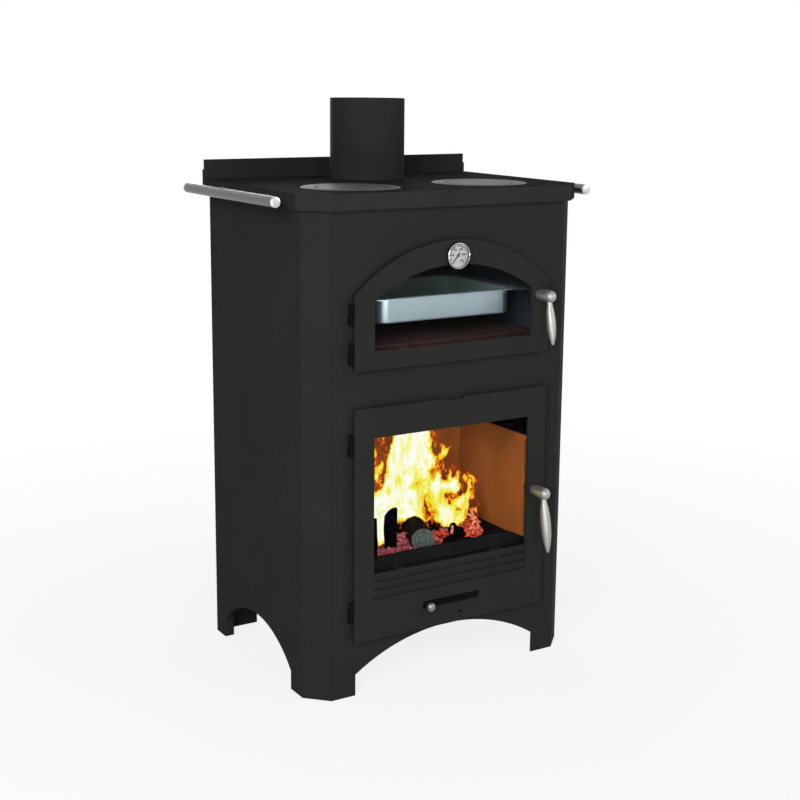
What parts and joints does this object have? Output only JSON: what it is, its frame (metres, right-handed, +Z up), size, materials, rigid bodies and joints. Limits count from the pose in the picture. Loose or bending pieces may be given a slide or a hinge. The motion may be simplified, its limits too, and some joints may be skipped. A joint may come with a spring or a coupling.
{
  "type": "wood-burning range cooker",
  "caption": "Wood-burning range cooker with an arched glazed oven door above a glazed fire door, a hob with lift-off lids, side towel rails and a top flue.",
  "frame": {"origin": "on the floor under the middle of the stove's bounding box", "axes": "+Z up along the flue, the doors face -Y, +X is to the right of someone facing the doors"},
  "size_m": [0.708, 0.501, 1.108],
  "materials": {
    "casing_paint": "fine matt charcoal stove paint",
    "hob_paint": "dark matt iron",
    "inner_steel": "plain dark steel plate",
    "flue_paint": "matt black stove pipe",
    "lid_iron": "ground grey iron",
    "stainless": "brushed stainless tube",
    "handle_nickel": "satin nickel",
    "chrome": "polished chrome",
    "door_glass": "clear ceramic glass",
    "lens_glass": "clear glass",
    "firebrick": "rough tan refractory",
    "hearth_brick": "dark red brick",
    "fire_iron": "sooty cast iron",
    "oven_enamel": "dark blue-grey enamel",
    "tray_steel": "bright sheet steel",
    "pan_steel": "galvanised sheet",
    "seal_rope": "glass-fibre rope",
    "dial_white": "white dial with black scale",
    "needle_black": "black",
    "plain_steel": "plain steel"
  },
  "bodies": {
    "stove": {"front_panel": "casing_paint", "left_side_panel": "casing_paint", "right_side_panel": "casing_paint", "rear_panel": "casing_paint", "base_plate": "inner_steel", "hob_plate": "hob_paint", "backsplash": "hob_paint", "splash_screws": "plain_steel", "flue_spigot": "inner_steel", "flue_pipe": "flue_paint", "left_rail": "stainless", "right_rail": "stainless", "rail_posts": "stainless", "rail_caps": "stainless", "inner_shell": "inner_steel", "firebox_back": "inner_steel", "fire_floor": "fire_iron", "grate": "fire_iron", "log_retainer": "fire_iron", "left_firebrick": "firebrick", "right_firebrick": "firebrick", "rear_firebrick": "firebrick", "baffle": "firebrick", "oven_box": "oven_enamel", "oven_hearth": "hearth_brick", "oven_runners": "tray_steel", "hinge_brackets": "inner_steel", "hinge_pins": "plain_steel"},
    "oven_door": {"oven_door_leaf": "casing_paint", "oven_door_glass": "door_glass", "oven_glass_clips": "plain_steel", "oven_clip_screws": "plain_steel", "oven_door_seal": "seal_rope", "oven_hinge_knuckles": "inner_steel", "thermometer_case": "chrome", "thermometer_dial": "dial_white", "thermometer_lens": "lens_glass", "thermometer_stem": "plain_steel"},
    "thermometer_pointer": {"thermometer_needle": "needle_black"},
    "oven_handle": {"oven_handle_hub": "handle_nickel", "oven_handle_grip": "handle_nickel", "oven_latch_tongue": "inner_steel"},
    "fire_door": {"fire_door_leaf": "casing_paint", "fire_door_glass": "door_glass", "fire_glass_clips": "plain_steel", "fire_clip_screws": "plain_steel", "fire_door_seal": "seal_rope", "fire_hinge_knuckles": "inner_steel", "air_guides": "inner_steel"},
    "fire_handle": {"fire_handle_hub": "handle_nickel", "fire_handle_grip": "handle_nickel", "fire_latch_tongue": "inner_steel"},
    "air_control": {"air_slide": "inner_steel", "air_knob": "chrome"},
    "left_lid": {"left_hotplate": "lid_iron"},
    "right_lid": {"right_hotplate": "lid_iron"},
    "baking_tray": {"oven_tray": "tray_steel"},
    "ash_drawer": {"ash_pan": "pan_steel"}
  },
  "joints": [
    {"name": "oven_door_hinge", "type": "hinge", "parent": "stove", "child": "oven_door", "pos_m": [-0.221, -0.1885, 0.7], "axis": [0, 0, -1], "range_deg": [0, 110]},
    {"name": "fire_door_hinge", "type": "hinge", "parent": "stove", "child": "fire_door", "pos_m": [-0.221, -0.1885, 0.334], "axis": [0, 0, -1], "range_deg": [0, 110]},
    {"name": "oven_handle_turn", "type": "hinge", "parent": "oven_door", "child": "oven_handle", "pos_m": [0.192, -0.1945, 0.741], "axis": [0, -1, 0], "range_deg": [0, 90]},
    {"name": "fire_handle_turn", "type": "hinge", "parent": "fire_door", "child": "fire_handle", "pos_m": [0.192, -0.1945, 0.35], "axis": [0, -1, 0], "range_deg": [0, 90]},
    {"name": "thermometer_turn", "type": "hinge", "parent": "oven_door", "child": "thermometer_pointer", "pos_m": [0, -0.198, 0.827], "axis": [0, 1, 0], "range_deg": [0, 280]},
    {"name": "air_control_slide", "type": "slide", "parent": "fire_door", "child": "air_control", "axis": [1, 0, 0], "range_m": [0, 0.112]},
    {"name": "left_lid_lift", "type": "slide", "parent": "stove", "child": "left_lid", "axis": [0, 0, 1], "range_m": [0, 0.08]},
    {"name": "right_lid_lift", "type": "slide", "parent": "stove", "child": "right_lid", "axis": [0, 0, 1], "range_m": [0, 0.08]},
    {"name": "tray_slide", "type": "slide", "parent": "stove", "child": "baking_tray", "axis": [0, -1, 0], "range_m": [-0.015, 0.018]},
    {"name": "ash_pan_slide", "type": "slide", "parent": "stove", "child": "ash_drawer", "axis": [0, -1, 0], "range_m": [0, 0.012]}
  ]
}
